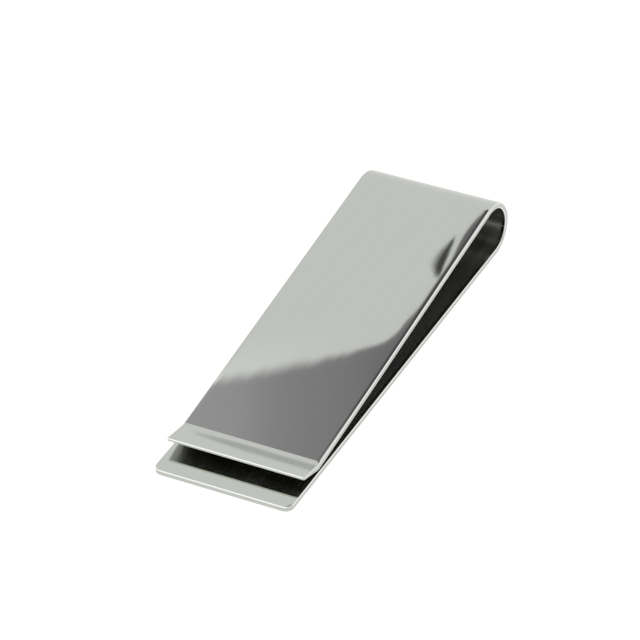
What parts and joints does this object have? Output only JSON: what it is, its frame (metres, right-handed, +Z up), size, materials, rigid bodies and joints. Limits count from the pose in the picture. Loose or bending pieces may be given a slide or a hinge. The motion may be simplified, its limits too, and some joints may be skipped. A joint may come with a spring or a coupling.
{
  "type": "money clip",
  "caption": "Plain polished steel money clip: one folded spring strip with a flat base leaf, a rounded return bend, a sloping clamping leaf and a turned-up thumb lip.",
  "frame": {"origin": "centre of the overall box at its base: under the middle of the clip, on the surface it lies on", "axes": "+X along the clip from the open front to the return bend, +Y across the strip, +Z up from the base leaf to the clamping leaf"},
  "size_m": [0.068, 0.02, 0.0088],
  "materials": {
    "polished_steel": "mirror-polished stainless spring steel with fine lengthwise polishing lines"
  },
  "bodies": {
    "base": {"base_leaf": "polished_steel", "return_bend_lower": "polished_steel"},
    "clamp_arm": {"return_bend_upper": "polished_steel", "clamping_leaf": "polished_steel", "nip_bend": "polished_steel", "thumb_lip": "polished_steel"}
  },
  "joints": [
    {"name": "clip_opening", "type": "hinge", "parent": "base", "child": "clamp_arm", "pos_m": [0.03389, 0, 0.00514], "axis": [0, 1, 0], "range_deg": [0, 8], "stiffness_Nm_per_rad": 5}
  ]
}
